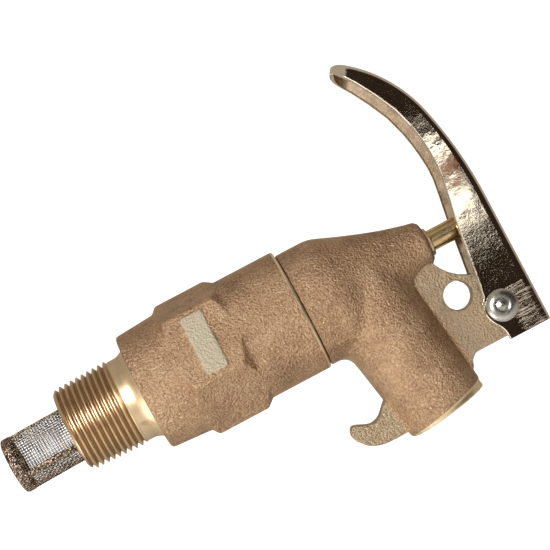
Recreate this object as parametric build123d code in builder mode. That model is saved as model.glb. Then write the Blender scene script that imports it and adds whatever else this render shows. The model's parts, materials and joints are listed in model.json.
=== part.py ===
"""Self-closing safety drum faucet: threaded inlet with a flame screen, swivelling
spout body, spring-loaded valve and a squeeze lever.

Frame: +X runs from the inlet to the lever along the valve axis, +Z is up, the
origin is the centre of the inlet's end face, and y = 0 is the plane of symmetry.
Every size is in millimetres.
"""

from build123d import *
import os
from math import cos, radians, sin, sqrt, tan

# ---------------------------------------------------------------- driving sizes
# Inlet thread, 3/4-14 NPT: pitch, crest radius at the small end, taper on the radius
thread_pitch = 25.4 / 14
thread_end_r = 13.0
thread_taper = 1 / 32
thread_depth = 1.3
thread_crest = 0.22
thread_count = 10

# Inlet adapter, outside
shank_r = 12.95
shank_length = 4.0
shoulder_r = 14.3
shoulder_length = 1.5
neck_length = 13.0
neck_front_r = 18.15
sleeve_r = 19.0
sleeve_length = 19.7
hex_flats = 37.7
hex_length = 19.5
hex_turn = 15.4
hex_front_chamfer = 1.5
hex_rear_chamfer = 2.5
plate_length = 18.0
plate_width = 6.5
plate_height = 0.5

# Inlet adapter, inside
inlet_bore_r = 9.5
screen_seat_depth = 7.5
chamber_r = 13.2
swivel_bore_r = 15.6

# Flame screen
screen_r = 8.4
screen_wall = 0.55
screen_reach = 20.0
screen_band_length = 3.0
screen_droop = 1.6
collar_r = 12.5
collar_thickness = 1.5
circlip_thickness = 1.0

# Swivel joint between adapter and body
swivel_gap = 0.3
swivel_clearance = 0.1
spigot_length = 30.0
gasket_thickness = 2.0
swivel_ring_wire_r = 0.85
swivel_ring_setback = 15.7
swivel_seal_wire_r = 0.93
swivel_seal_setback = 8.2

# Body casting
barrel_r = 18.0
barrel_drop = 0.6
barrel_length = 10.5
elbow_length = 20.0
elbow_blend_r = 12.0
underside_blend_r = 4.0
boss_length = 11.0
boss_r = 6.7
boss_root_r = 9.3
boss_rise = 0.5
boss_chamfer = 1.1
body_chamber_r = 13.0
pocket_r = 12.5
pocket_depth = 19.6
port_r = 7.5
seat_lip_height = 0.8
seat_lip_width = 1.2
port_length = 4.0

# Spout
spout_reach = 23.9
spout_drop = 46.5
spout_tilt = 9.0
spout_r = 13.05
spout_draft = 1.5
spout_length = 45.0
outlet_r = 10.4
outlet_length = 16.0
rim_band_depth = 0.3
rim_band_low = 0.6
rim_band_high = 2.6

# Lug, pivot and hook
lug_thickness = 7.0
pivot_reach = 51.4
pivot_drop = 26.0
lock_hole_r = 4.3
lock_hole_reach = 42.0
lock_hole_drop = 17.8
hook_thickness = 8.0
hook_root_r = 1.5

# Stem and valve
stem_r = 3.175
stem_tip_sphere = 5.0
stem_clearance = 0.06
guide_length = 5.0
thread_r = 2.5
pilot_r = 2.0
disc_r = 9.3
disc_thickness = 2.2
holder_wall = 1.0
holder_floor = 2.4
disc_washer_r = 5.5
disc_washer_thickness = 0.8
nut_flats = 8.0
nut_thickness = 3.0
lock_washer_thickness = 0.7
lock_washer_r = 4.6
spring_r = 7.4
spring_wire_r = 0.5
spring_turns = 4.5
spider_thickness = 1.6
spider_arm = 2.6

# Packing
packing_depth = 1.525
packing_count = 3
packing_ring_height = 1.8
follower_thickness = 1.5
gland_length = 7.6
gland_lip_step = 0.35
gland_lip_length = 1.0
fit_clearance = 0.05

# Lever
lever_back_reach = 11.1
lever_width = 18.0
lever_sheet = 1.3
lever_corner_r = 2.0
lever_foot_drop = 9.9
lever_straight = 30.4
lever_bend_r = 120.0
lever_bend_angle = 14.5
lever_tip_bend_r = 42.0
lever_tip_bend_angle = 42.8
lever_ear_r = 5.6
rivet_r = 3.1
rivet_head_r = 4.8
rivet_head_height = 1.5
rivet_dimple_r = 2.3
spacer_r = 5.0
lever_clearance = 0.12

# ---------------------------------------------------------------- places along X
shank_x = thread_count * thread_pitch
shoulder_x = shank_x + shank_length
neck_x = shoulder_x + shoulder_length
hex_x = neck_x + neck_length
sleeve_x = hex_x + hex_length
adapter_end_x = sleeve_x + sleeve_length
body_x = adapter_end_x + swivel_gap
spigot_x = body_x - spigot_length
gasket_x = spigot_x - gasket_thickness
screen_seat_x = neck_x + screen_seat_depth
ring_x = body_x - swivel_ring_setback
seal_x = body_x - swivel_seal_setback
seat_x = spigot_x + pocket_depth - seat_lip_height
port_x = spigot_x + pocket_depth
chamber_x = port_x + port_length
elbow_x = body_x + barrel_length
boss_x = elbow_x + elbow_length
boss_end_x = boss_x + boss_length
gland_x = boss_end_x + gland_lip_length - gland_length
follower_x = gland_x - follower_thickness
packing_x = follower_x - packing_count * packing_ring_height
packing_box_x = packing_x - follower_thickness
guide_x = packing_box_x - guide_length
packing_box_r = stem_r + packing_depth
gland_lip_r = packing_box_r - gland_lip_step
pivot_x = body_x + pivot_reach
lever_back_x = pivot_x + lever_back_reach
lever_web_x = lever_back_x - lever_sheet
spigot_r = swivel_bore_r - swivel_clearance

# Valve stack, from the seat towards the inlet
holder_r = disc_r + holder_wall
holder_x = seat_x - disc_thickness - holder_floor
lock_washer_x = holder_x - lock_washer_thickness
nut_x = lock_washer_x - nut_thickness
spider_circlip_x = spigot_x + 0.7
spider_x = spider_circlip_x + circlip_thickness


def turned(profile):
    """A solid of revolution about the valve axis, from (x, r) corners."""
    with BuildPart() as piece:
        with BuildSketch(Plane.XZ):
            with BuildLine():
                Polyline(*profile, close=True)
            make_face()
        revolve(axis=Axis.X)
    return piece.part


def turned_ring(x, length, inner_r, outer_r):
    """A plain ring on the valve axis that starts at x."""
    return turned(
        [(x, inner_r), (x + length, inner_r), (x + length, outer_r), (x, outer_r)]
    )


def wire_ring(x, centre_r, wire_r):
    """A round-section ring on the valve axis, centred at x."""
    with BuildPart() as piece:
        with BuildSketch(Plane.XZ):
            with Locations((x, centre_r)):
                Circle(wire_r)
        revolve(axis=Axis.X)
    return piece.part


# ---------------------------------------------------------------- inlet adapter
# Cast in one piece: tapered thread, turned shank, cast neck, hexagon and sleeve.
def thread_outline():
    """Crests and roots of the tapered thread, from the inlet end to the shank."""
    flank = (thread_pitch - 2 * thread_crest) / 2
    corners = []
    for turn in range(thread_count):
        x = turn * thread_pitch
        crest = thread_end_r + x * thread_taper
        root = crest - thread_depth
        corners += [(x, root), (x + thread_crest, root)]
        corners += [(x + thread_crest + flank, crest), (x + thread_crest + flank + thread_crest, crest)]
    return corners


hex_corner_r = hex_flats / 2 / cos(radians(30))
hex_core_r = hex_flats / 2 - 0.2
shank_root_r = thread_end_r + shank_x * thread_taper - thread_depth

with BuildPart() as inlet_adapter:
    with BuildSketch(Plane.YZ.offset(hex_x)):
        RegularPolygon(hex_flats / 2, 6, major_radius=False, rotation=30 - hex_turn)
        fillet(vertices(), 1.2)
    extrude(amount=hex_length)
    with BuildSketch(Plane.XZ):
        with BuildLine():
            Polyline(
                (hex_x, 0),
                (hex_x, sleeve_r + 0.3),
                (hex_x + hex_front_chamfer, hex_corner_r),
                (sleeve_x - hex_rear_chamfer, hex_corner_r),
                (sleeve_x, sleeve_r + 0.2),
                (sleeve_x, 0),
                close=True,
            )
        make_face()
    revolve(axis=Axis.X, mode=Mode.INTERSECT)

    with BuildSketch(Plane.XZ):
        with BuildLine():
            Polyline(
                (0, 0),
                *thread_outline(),
                (shank_x, shank_root_r),
                (shank_x + 0.4, shank_r),
                (shoulder_x, shank_r),
                (shoulder_x, shoulder_r),
                (neck_x, shoulder_r),
                (neck_x, neck_front_r - 0.6),
                (neck_x + 0.6, neck_front_r),
                (hex_x, sleeve_r),
                (hex_x, hex_core_r),
                (sleeve_x, hex_core_r),
                (sleeve_x, sleeve_r),
                (adapter_end_x - 0.4, sleeve_r),
                (adapter_end_x, sleeve_r - 0.4),
                (adapter_end_x, 0),
                close=True,
            )
        make_face()
    revolve(axis=Axis.X)

    flat_normal = Vector(0, -cos(radians(hex_turn)), sin(radians(hex_turn)))
    plate_centre = flat_normal * (hex_flats / 2) + Vector(hex_x + hex_length / 2, 0, 0)
    with BuildSketch(Plane(origin=plate_centre, x_dir=(1, 0, 0), z_dir=flat_normal)):
        RectangleRounded(plate_width, plate_length, 0.6)
    extrude(amount=plate_height, both=True)

    with BuildSketch(Plane.XZ):
        with BuildLine():
            Polyline(
                (-1, 0),
                (-1, inlet_bore_r),
                (neck_x + 3, inlet_bore_r),
                (screen_seat_x, inlet_bore_r + 1.5),
                (screen_seat_x, chamber_r),
                (gasket_x, chamber_r),
                (gasket_x, swivel_bore_r),
                (adapter_end_x + 1, swivel_bore_r),
                (adapter_end_x + 1, 0),
                close=True,
            )
        make_face()
    revolve(axis=Axis.X, mode=Mode.SUBTRACT)

    groove_half = swivel_ring_wire_r + fit_clearance
    with BuildSketch(Plane.XZ):
        with Locations((ring_x, swivel_bore_r)):
            Rectangle(2 * groove_half, 2 * groove_half)
        with Locations((screen_seat_x + 3.1 + circlip_thickness / 2, chamber_r)):
            Rectangle(circlip_thickness + 2 * fit_clearance, 1.5)
    revolve(axis=Axis.X, mode=Mode.SUBTRACT)

# ---------------------------------------------------------------- flame screen
# The tube hangs a little low, turning about its collar in the chamber.
droop = radians(screen_droop)
screen_axis = Vector(-cos(droop), 0, -sin(droop))
screen_origin = Vector(screen_seat_x + 0.4, 0, 0)
screen_plane = Plane(origin=screen_origin, x_dir=(-sin(droop), 0, cos(droop)), z_dir=screen_axis)
tube_length = (screen_reach + screen_origin.X) / cos(droop)

with BuildPart() as screen_tube:
    with BuildSketch(screen_plane):
        Circle(screen_r)
        Circle(screen_r - screen_wall, mode=Mode.SUBTRACT)
    extrude(amount=tube_length - screen_band_length)

with BuildPart() as screen_cap:
    band_start = tube_length - screen_band_length
    with BuildSketch(screen_plane.offset(band_start)):
        Circle(screen_r + 0.05)
    extrude(amount=screen_band_length)
    with BuildSketch(screen_plane.offset(band_start)):
        Circle(screen_r - screen_wall)
    extrude(amount=screen_band_length - screen_wall, mode=Mode.SUBTRACT)

with BuildPart() as screen_collar:
    with BuildSketch(screen_plane):
        Circle(collar_r)
        Circle(screen_r - screen_wall - 0.6, mode=Mode.SUBTRACT)
    extrude(amount=-collar_thickness)

with BuildPart() as screen_circlip:
    add(turned_ring(screen_seat_x + 3.1, circlip_thickness, chamber_r - 2, chamber_r + 0.7))

# ---------------------------------------------------------------- swivel joint
with BuildPart() as swivel_gasket:
    add(turned_ring(gasket_x, gasket_thickness, pocket_r + 1, swivel_bore_r - 0.15))

with BuildPart() as swivel_ring:
    add(wire_ring(ring_x, swivel_bore_r, swivel_ring_wire_r))

seal_centre_r = swivel_bore_r - fit_clearance - swivel_seal_wire_r
with BuildPart() as swivel_seal:
    add(wire_ring(seal_x, seal_centre_r, swivel_seal_wire_r))

# ---------------------------------------------------------------- faucet body
# Barrel, elbow, spout, stem boss, lever lug and pail hook are one casting.
tilt = radians(spout_tilt)
rim_centre = Vector(body_x + spout_reach, 0, -spout_drop)
spout_up = Vector(-sin(tilt), 0, cos(tilt))
spout_plane = Plane(origin=rim_centre, x_dir=(cos(tilt), 0, sin(tilt)), z_dir=spout_up)
spout_top_r = spout_r + spout_length * tan(radians(spout_draft))
spout_top = rim_centre + spout_up * spout_length
pivot_z = -pivot_drop

# Turned band round the spout's rim, taller on the lever side
band_plane = Plane(
    origin=rim_centre + spout_up * (rim_band_low + rim_band_high) / 2,
    x_dir=(2 * spout_r, 0, rim_band_high - rim_band_low),
    z_dir=(rim_band_low - rim_band_high, 0, 2 * spout_r),
).rotated((0, -spout_tilt, 0))
with BuildPart() as rim_band:
    with BuildSketch(spout_plane.offset(-1)):
        Circle(spout_r + 3)
        Circle(spout_r - rim_band_depth, mode=Mode.SUBTRACT)
    extrude(amount=8)
    split(bisect_by=band_plane, keep=Keep.BOTTOM)

with BuildPart() as faucet_body:
    with BuildSketch(Plane.YZ.offset(body_x)):
        with Locations((0, -barrel_drop)):
            Circle(barrel_r)
    extrude(amount=barrel_length)
    elbow_sections = [
        (elbow_x, barrel_r, -barrel_drop),
        (elbow_x + 0.45 * elbow_length, 0.52 * barrel_r + 0.48 * boss_root_r, -0.1),
        (boss_x, boss_root_r, boss_rise),
        (boss_end_x - boss_chamfer, boss_r, boss_rise),
    ]
    for x, r, rise in elbow_sections:
        with BuildSketch(Plane.YZ.offset(x)):
            with Locations((0, rise)):
                Circle(r)
    loft()
    elbow_edge = edges().sort_by_distance((elbow_x, barrel_r, -barrel_drop))[0]
    fillet(elbow_edge, elbow_blend_r)
    with BuildSketch(Plane.YZ.offset(boss_end_x - boss_chamfer)):
        with Locations((0, boss_rise)):
            Circle(boss_r)
    extrude(amount=boss_chamfer, taper=45)

    with BuildSketch(spout_plane):
        Circle(spout_r)
    extrude(amount=spout_length, taper=-spout_draft)
    with Locations(spout_top):
        Sphere(spout_top_r)
    underside = Vector(body_x + 5.8, 0, -barrel_r - 1.5)
    fillet(edges().sort_by_distance(underside)[0], underside_blend_r)

    # Web that carries the lever and the padlock
    web_top = (boss_end_x - 1.6, -boss_r + boss_rise)
    with BuildSketch(Plane.XZ):
        with BuildLine():
            Line((boss_x - 4, -2), web_top)
            ThreePointArc(web_top, (pivot_x - 7.1, pivot_z + 14.2), (pivot_x - 2.5, pivot_z + 11.9))
            Line((pivot_x - 2.5, pivot_z + 11.9), (pivot_x + 3.4, pivot_z + 6.4))
            ThreePointArc(
                (pivot_x + 3.4, pivot_z + 6.4),
                (pivot_x + 6.9, pivot_z),
                (pivot_x + 3.4, pivot_z - 6.4),
            )
            Line((pivot_x + 3.4, pivot_z - 6.4), (pivot_x - 1.5, pivot_z - 9.0))
            Line((pivot_x - 1.5, pivot_z - 9.0), (pivot_x - 12, pivot_z - 9.0))
            ThreePointArc(
                (pivot_x - 12, pivot_z - 9.0),
                (pivot_x - 14.0, pivot_z - 10.2),
                (pivot_x - 14.8, pivot_z - 12.6),
            )
            Line((pivot_x - 14.8, pivot_z - 12.6), (body_x + 26, pivot_z - 12.6))
            Line((body_x + 26, pivot_z - 12.6), (boss_x - 4, -2))
        make_face()
    extrude(amount=lug_thickness / 2, both=True)

    # Pail hook on the inlet side of the spout
    with BuildSketch(Plane.XZ):
        with BuildLine():
            Spline(
                (body_x + 12, -34),
                (body_x + 7.3, -36.2),
                (body_x + 4.6, -38.6),
                (body_x + 1.6, -39.1),
                (body_x - 1.6, -37.8),
                (body_x - 3.4, -37.3),
            )
            ThreePointArc(
                (body_x - 3.4, -37.3), (body_x - 4.6, -39.0), (body_x - 3.4, -42.4)
            )
            Spline(
                (body_x - 3.4, -42.4),
                (body_x - 1.0, -44.8),
                (body_x + 2.4, -46.0),
                (body_x + 6, -46.3),
                (body_x + 14, -46.3),
            )
            Line((body_x + 14, -46.3), (body_x + 12, -34))
        make_face()
    extrude(amount=hook_thickness / 2, both=True)

    hook_root = [Vector(body_x + 10.3, side * hook_thickness / 2, -40.4) for side in (-1, 1)]
    fillet([edges().sort_by_distance(point)[0] for point in hook_root], hook_root_r)

    add(rim_band.part, mode=Mode.SUBTRACT)

    # Spigot that turns inside the adapter, with its seal and ring grooves
    with BuildSketch(Plane.XZ):
        with BuildLine():
            Polyline(
                (spigot_x, 0),
                (spigot_x, spigot_r - 0.4),
                (spigot_x + 0.4, spigot_r),
                (body_x, spigot_r),
                (body_x, 0),
                close=True,
            )
        make_face()
    revolve(axis=Axis.X)
    with BuildSketch(Plane.XZ):
        with Locations((ring_x, swivel_bore_r)):
            Rectangle(2 * groove_half + 0.2, 2 * groove_half + 0.2)
        with Locations((seal_x, swivel_bore_r)):
            Rectangle(2.8 * swivel_seal_wire_r, 4 * swivel_seal_wire_r + 0.3)
    revolve(axis=Axis.X, mode=Mode.SUBTRACT)

    # Valve pocket, raised seat, port, chamber, stem guide and packing box
    seat_r = port_r + seat_lip_width
    chamber_end_x = elbow_x + 0.45 * elbow_length
    with BuildSketch(Plane.XZ):
        with BuildLine():
            Polyline(
                (spigot_x - 1, 0),
                (spigot_x - 1, pocket_r),
                (port_x, pocket_r),
                (port_x, seat_r + 0.5),
                (seat_x, seat_r),
                (seat_x, port_r),
                (chamber_x, port_r),
                (chamber_x + 2, body_chamber_r - 2),
                (chamber_x + 5, body_chamber_r),
                (elbow_x, body_chamber_r),
                (chamber_end_x, stem_r + 6),
                (guide_x, stem_r + 3),
                (guide_x, stem_r + stem_clearance),
                (packing_box_x, stem_r + stem_clearance),
                (packing_box_x, packing_box_r),
                (boss_end_x + 1, packing_box_r),
                (boss_end_x + 1, 0),
                close=True,
            )
        make_face()
    revolve(axis=Axis.X, mode=Mode.SUBTRACT)
    with BuildSketch(Plane.XZ):
        with Locations((spider_circlip_x + circlip_thickness / 2, pocket_r)):
            Rectangle(circlip_thickness + 2 * fit_clearance, 1.5)
    revolve(axis=Axis.X, mode=Mode.SUBTRACT)

    # Spout passage: a bored mouth, then a slightly narrower cast way up to the chamber
    with BuildSketch(spout_plane):
        Circle(outlet_r)
    extrude(amount=outlet_length, mode=Mode.SUBTRACT)
    with BuildSketch(spout_plane):
        Circle(outlet_r - 0.4)
    extrude(amount=spout_drop - 6, mode=Mode.SUBTRACT)

    # Padlock hole and pivot hole through the lug
    with BuildSketch(Plane.XZ):
        with Locations((body_x + lock_hole_reach, -lock_hole_drop)):
            Circle(lock_hole_r)
        with Locations((pivot_x, pivot_z)):
            Circle(rivet_r + stem_clearance)
    extrude(amount=lug_thickness, both=True, mode=Mode.SUBTRACT)

# ---------------------------------------------------------------- stem and valve
web_contact = lever_web_x - fit_clearance
stem_start_x = seat_x + disc_washer_thickness

with BuildPart() as valve_stem:
    with BuildSketch(Plane.XZ):
        with BuildLine():
            tip_r = stem_r
            sag = stem_tip_sphere - sqrt(stem_tip_sphere**2 - tip_r**2)
            Polyline(
                (web_contact, 0),
                (spider_x - 1.5, 0),
                (spider_x - 1.5, pilot_r - 0.4),
                (spider_x - 1.1, pilot_r),
                (nut_x - 1.6, pilot_r),
                (nut_x - 1.2, thread_r),
                (stem_start_x, thread_r),
                (stem_start_x, stem_r),
                (web_contact - sag, stem_r),
            )
            ThreePointArc(
                (web_contact - sag, stem_r),
                (
                    web_contact - stem_tip_sphere + sqrt(stem_tip_sphere**2 - (tip_r / 2) ** 2),
                    tip_r / 2,
                ),
                (web_contact, 0),
            )
        make_face()
    revolve(axis=Axis.X)

with BuildPart() as disc_washer:
    add(turned_ring(seat_x, disc_washer_thickness, thread_r + fit_clearance, disc_washer_r))

with BuildPart() as seat_disc:
    add(turned_ring(seat_x - disc_thickness, disc_thickness, thread_r + fit_clearance, disc_r))

with BuildPart() as disc_holder:
    add(
        turned(
            [
                (holder_x, thread_r + fit_clearance),
                (seat_x - disc_thickness, thread_r + fit_clearance),
                (seat_x - disc_thickness, disc_r + fit_clearance),
                (seat_x - 0.7, disc_r + fit_clearance),
                (seat_x - 0.7, holder_r - 0.3),
                (seat_x - 1.0, holder_r),
                (holder_x + 0.6, holder_r),
                (holder_x, holder_r - 0.6),
            ]
        )
    )

with BuildPart() as lock_washer:
    add(
        turned_ring(
            lock_washer_x, lock_washer_thickness, thread_r + fit_clearance, lock_washer_r
        )
    )

with BuildPart() as disc_nut:
    with BuildSketch(Plane.YZ.offset(nut_x)):
        RegularPolygon(nut_flats / 2, 6, major_radius=False)
        Circle(thread_r + fit_clearance, mode=Mode.SUBTRACT)
    extrude(amount=nut_thickness)

with BuildPart() as spider_circlip:
    add(turned_ring(spider_circlip_x, circlip_thickness, pocket_r - 1.6, pocket_r + 0.7))

# Perforated plate: hub, spring seat and rim joined by three arms
with BuildPart() as spring_spider:
    with BuildSketch(Plane.YZ.offset(spider_x)):
        Circle(pocket_r - swivel_clearance)
        Circle(pocket_r - 1.7, mode=Mode.SUBTRACT)
        Circle(spring_r + 1.2)
        Circle(spring_r - 1.2, mode=Mode.SUBTRACT)
        Circle(pilot_r + 2.2)
        with PolarLocations((pocket_r - 1) / 2, 3):
            Rectangle(pocket_r - 1, spider_arm)
        Circle(pilot_r + stem_clearance, mode=Mode.SUBTRACT)
    extrude(amount=spider_thickness)

spring_x = spider_x + spider_thickness
spring_length = holder_x - spring_x
with BuildPart() as return_spring:
    with BuildLine() as spring_path:
        Helix(
            pitch=(spring_length - 2 * spring_wire_r) / spring_turns,
            height=spring_length - 2 * spring_wire_r,
            radius=spring_r,
            center=(spring_x + spring_wire_r, 0, 0),
            direction=(1, 0, 0),
        )
    spring_start = spring_path.line @ 0
    with BuildSketch(Plane(origin=spring_start, z_dir=spring_path.line % 0)):
        Circle(spring_wire_r)
    sweep(path=spring_path.line, is_frenet=True)

# ---------------------------------------------------------------- stem packing
with BuildPart() as packing_washer:
    add(
        turned_ring(
            packing_box_x,
            follower_thickness,
            stem_r + stem_clearance,
            packing_box_r - fit_clearance,
        )
    )

# Chevron rings nested on the stem
with BuildPart() as packing_rings:
    for ring in range(packing_count):
        x = packing_x + ring * packing_ring_height
        middle_r = (stem_r + packing_box_r) / 2
        add(
            turned(
                [
                    (x, stem_r + stem_clearance),
                    (x + 0.5, middle_r),
                    (x, packing_box_r - fit_clearance),
                    (x + packing_ring_height - 0.6, packing_box_r - fit_clearance),
                    (x + packing_ring_height - 0.1, middle_r),
                    (x + packing_ring_height - 0.6, stem_r + stem_clearance),
                ]
            )
        )

with BuildPart() as packing_follower:
    add(turned_ring(follower_x, follower_thickness, stem_r + stem_clearance, packing_box_r - fit_clearance))

seal_wire_r = 0.45
gland_seal_x = gland_x + 0.6 * gland_length
with BuildPart() as gland_nut:
    add(
        turned(
            [
                (gland_x, stem_r + stem_clearance),
                (gland_x + gland_length, stem_r + stem_clearance),
                (gland_x + gland_length, gland_lip_r - 0.3),
                (gland_x + gland_length - 0.3, gland_lip_r),
                (boss_end_x - 0.2, gland_lip_r),
                (boss_end_x - 0.2, packing_box_r - fit_clearance),
                (gland_x, packing_box_r - fit_clearance),
            ]
        )
    )
    with BuildSketch(Plane.XZ):
        with Locations((gland_seal_x, stem_r)):
            Rectangle(3 * seal_wire_r, 4 * seal_wire_r + 0.2)
    revolve(axis=Axis.X, mode=Mode.SUBTRACT)

with BuildPart() as gland_seal:
    add(wire_ring(gland_seal_x, stem_r + seal_wire_r + 0.03, seal_wire_r))

# ---------------------------------------------------------------- lever
# Stamped channel: a straight web from the foot up past the stem, then two bends.
foot_z = pivot_z - lever_foot_drop
bend_z = pivot_z + lever_straight


def lever_back(inset, foot):
    """The web's back, moved in by inset, from the foot up to the tip: three stretches."""
    x = lever_back_x - inset
    first = lever_bend_r - inset
    second = lever_tip_bend_r - inset
    web = Line((x, foot), (x, bend_z))
    bend = JernArc(web @ 1, (0, 1), first, lever_bend_angle)
    tip = JernArc(bend @ 1, bend % 1, second, lever_tip_bend_angle)
    return [web, bend, tip]


with BuildPart() as lever:
    with BuildSketch(Plane.XZ):
        with BuildLine():
            back = lever_back(0, foot_z)
            back_middles = [stretch @ 0.5 for stretch in back]
            tip = back[-1] @ 1
            ear_top = (pivot_x - 4.0, pivot_z + 4.4)
            ear_low = (pivot_x - 4.2, pivot_z - 4.2)
            waist = (pivot_x + 1.9, pivot_z + 45)
            Line(tip, tip + Vector(-1.6, -2.5))
            Spline(
                tip + Vector(-1.6, -2.5),
                (pivot_x - 4.6, pivot_z + 70.6),
                (pivot_x + 0.3, pivot_z + 58.1),
                waist,
                tangents=[(0.55, -0.83), (-0.05, -1)],
            )
            Spline(
                waist,
                (pivot_x + 1.0, pivot_z + 37.3),
                (pivot_x - 2.3, pivot_z + 15.0),
                ear_top,
                tangents=[(-0.05, -1), (-0.3, -0.95)],
            )
            ThreePointArc(ear_top, (pivot_x - lever_ear_r, pivot_z), ear_low)
            Line(ear_low, (pivot_x - 2.6, pivot_z - 6.6))
            Line((pivot_x - 2.6, pivot_z - 6.6), (pivot_x - 2.4, foot_z))
            Line((pivot_x - 2.4, foot_z), (lever_back_x, foot_z))
        make_face()
    extrude(amount=lever_width / 2, both=True)
    corners = [
        edges().sort_by_distance((middle.X, side * lever_width / 2, middle.Y))[0]
        for middle in back_middles
        for side in (-1, 1)
    ]
    fillet(corners, lever_corner_r)

    # Round the tip as seen from behind
    with BuildSketch(Plane.YZ.offset(lever_back_x - 60)):
        with BuildLine():
            half = lever_width / 2
            Polyline((-half, tip.Y - 6), (-half, foot_z - 1), (half, foot_z - 1), (half, tip.Y - 6))
            EllipticalCenterArc((0, tip.Y - 6), half, 6.02, arc_size=180)
        make_face()
    extrude(amount=90, mode=Mode.INTERSECT)

    with BuildSketch(Plane.XZ):
        with BuildLine():
            inner_tip = lever_back(lever_sheet, foot_z - 2)[-1] @ 1
            Polyline(
                inner_tip,
                (pivot_x - 25, inner_tip.Y),
                (pivot_x - 25, foot_z - 2),
                (lever_back_x - lever_sheet, foot_z - 2),
            )
        make_face()
    extrude(amount=lever_width / 2 - lever_sheet, both=True, mode=Mode.SUBTRACT)

    with BuildSketch(Plane.XZ):
        with Locations((pivot_x, pivot_z)):
            Circle(rivet_r + fit_clearance)
    extrude(amount=lever_width, both=True, mode=Mode.SUBTRACT)

# ---------------------------------------------------------------- pivot
rivet_face = lever_width / 2 + fit_clearance
with BuildPart() as pivot_rivet:
    with BuildSketch(Plane.XY.offset(pivot_z)):
        with BuildLine():
            Polyline(
                (pivot_x, 0),
                (pivot_x + rivet_r, 0),
                (pivot_x + rivet_r, rivet_face),
                (pivot_x + rivet_head_r, rivet_face),
                (pivot_x + rivet_head_r, rivet_face + 0.4),
            )
            ThreePointArc(
                (pivot_x + rivet_head_r, rivet_face + 0.4),
                (pivot_x + rivet_head_r - 0.9, rivet_face + 1.15),
                (pivot_x + rivet_dimple_r, rivet_face + rivet_head_height),
            )
            Polyline(
                (pivot_x + rivet_dimple_r, rivet_face + rivet_head_height),
                (pivot_x + rivet_dimple_r - 0.5, rivet_face + 0.5),
                (pivot_x + 0.5, rivet_face + 0.9),
                (pivot_x, rivet_face + 0.9),
                (pivot_x, 0),
            )
        make_face()
    revolve(axis=Axis((pivot_x, 0, pivot_z), (0, 1, 0)))
    mirror(about=Plane.XZ)

spacer_start = lug_thickness / 2 + lever_clearance
spacer_end = lever_width / 2 - lever_sheet - fit_clearance
with BuildPart() as pivot_spacers:
    for side in (-1, 1):
        with BuildSketch(Plane.XZ.offset(side * spacer_start)):
            with Locations((pivot_x, pivot_z)):
                Circle(spacer_r)
                Circle(rivet_r + fit_clearance, mode=Mode.SUBTRACT)
        extrude(amount=side * (spacer_end - spacer_start))

# ---------------------------------------------------------------- write the parts
pieces = {
    "inlet_adapter": inlet_adapter,
    "screen_tube": screen_tube,
    "screen_cap": screen_cap,
    "screen_collar": screen_collar,
    "screen_circlip": screen_circlip,
    "swivel_gasket": swivel_gasket,
    "swivel_ring": swivel_ring,
    "swivel_seal": swivel_seal,
    "faucet_body": faucet_body,
    "spring_spider": spring_spider,
    "spider_circlip": spider_circlip,
    "return_spring": return_spring,
    "valve_stem": valve_stem,
    "disc_nut": disc_nut,
    "lock_washer": lock_washer,
    "disc_holder": disc_holder,
    "seat_disc": seat_disc,
    "disc_washer": disc_washer,
    "packing_washer": packing_washer,
    "packing_rings": packing_rings,
    "packing_follower": packing_follower,
    "gland_seal": gland_seal,
    "gland_nut": gland_nut,
    "lever": lever,
    "pivot_rivet": pivot_rivet,
    "pivot_spacers": pivot_spacers,
}

os.makedirs("parts", exist_ok=True)
for name, piece in pieces.items():
    piece.part.label = name
    export_step(piece.part, f"parts/{name}.step")
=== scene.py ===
"""Looks of the self-closing drum faucet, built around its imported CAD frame.

Everything is in metres in the row's frame: +X along the valve axis from the inlet to the
lever, +Z up, the origin at the centre of the inlet's end face.
"""

import json
from math import atan2, cos, hypot, pi, radians, sin, sqrt

import bmesh
import bpy
import numpy as np
from mathutils import Matrix, Vector


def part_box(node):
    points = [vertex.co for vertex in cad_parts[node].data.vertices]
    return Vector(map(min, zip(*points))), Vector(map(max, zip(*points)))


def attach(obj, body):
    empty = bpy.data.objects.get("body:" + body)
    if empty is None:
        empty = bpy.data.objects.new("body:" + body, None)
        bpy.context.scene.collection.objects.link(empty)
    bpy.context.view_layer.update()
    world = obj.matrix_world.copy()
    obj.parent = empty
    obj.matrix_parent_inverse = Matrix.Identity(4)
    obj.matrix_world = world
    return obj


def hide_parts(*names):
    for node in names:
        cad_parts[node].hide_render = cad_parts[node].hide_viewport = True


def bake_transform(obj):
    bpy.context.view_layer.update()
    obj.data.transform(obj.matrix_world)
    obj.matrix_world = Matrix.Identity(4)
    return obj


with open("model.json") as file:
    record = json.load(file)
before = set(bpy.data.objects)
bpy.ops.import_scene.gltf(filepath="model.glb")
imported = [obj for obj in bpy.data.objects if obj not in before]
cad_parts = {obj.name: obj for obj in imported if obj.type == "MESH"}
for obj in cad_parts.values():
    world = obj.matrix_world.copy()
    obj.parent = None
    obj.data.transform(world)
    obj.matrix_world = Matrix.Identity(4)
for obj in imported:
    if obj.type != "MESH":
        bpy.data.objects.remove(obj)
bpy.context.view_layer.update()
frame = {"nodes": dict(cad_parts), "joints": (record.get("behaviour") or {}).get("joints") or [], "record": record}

MM = 0.001

# ------------------------------------------------------------------ places, from the frame
joints = {j["name"]: j for j in frame["joints"]}
pivot = Vector(joints["lever_pivot"]["pos_m"])
body_x = joints["body_swivel"]["pos_m"][0]
mounts = {m["name"]: m for m in frame["record"]["mounts"]}

adapter_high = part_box("inlet_adapter")[1]
lever_low, lever_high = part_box("lever")
spout_axis = Vector(mounts["spout_mouth"]["axis"])
RIM_BELOW_MOUNT = 8 * MM
rim_centre = Vector(mounts["spout_mouth"]["pos_m"]) + spout_axis * RIM_BELOW_MOUNT
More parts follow.
